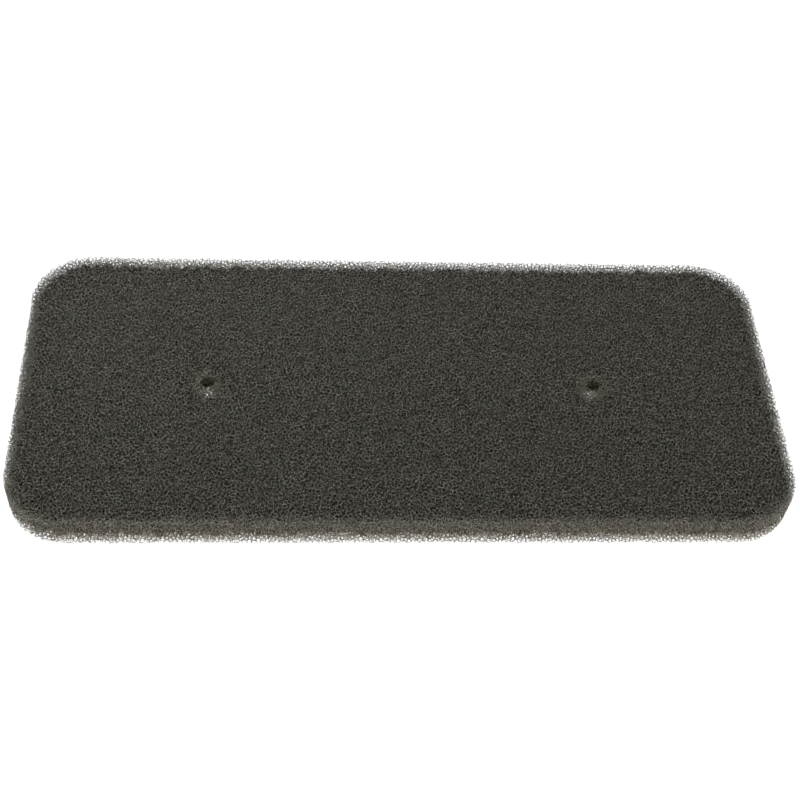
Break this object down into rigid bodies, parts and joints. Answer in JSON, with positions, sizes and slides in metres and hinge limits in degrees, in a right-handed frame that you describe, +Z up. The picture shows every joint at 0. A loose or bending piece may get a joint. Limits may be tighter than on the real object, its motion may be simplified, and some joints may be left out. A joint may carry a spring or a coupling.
{
  "type": "foam air filter pad",
  "caption": "Flat rounded-rectangle pad of dark open-cell foam that filters dust and lint from air, with peg holes that locate it in its filter frame.",
  "frame": {"origin": "centre of the flat face that the pad rests on", "axes": "+X along the pad's length, +Y across it towards the back edge, +Z up through its thickness; the peg holes lie on the line Y = 0"},
  "size_m": [0.26, 0.115, 0.012],
  "materials": {
    "foam": "matte open-cell polyurethane foam, charcoal grey"
  },
  "bodies": {
    "root": {"foam_pad": "foam"}
  },
  "joints": []
}
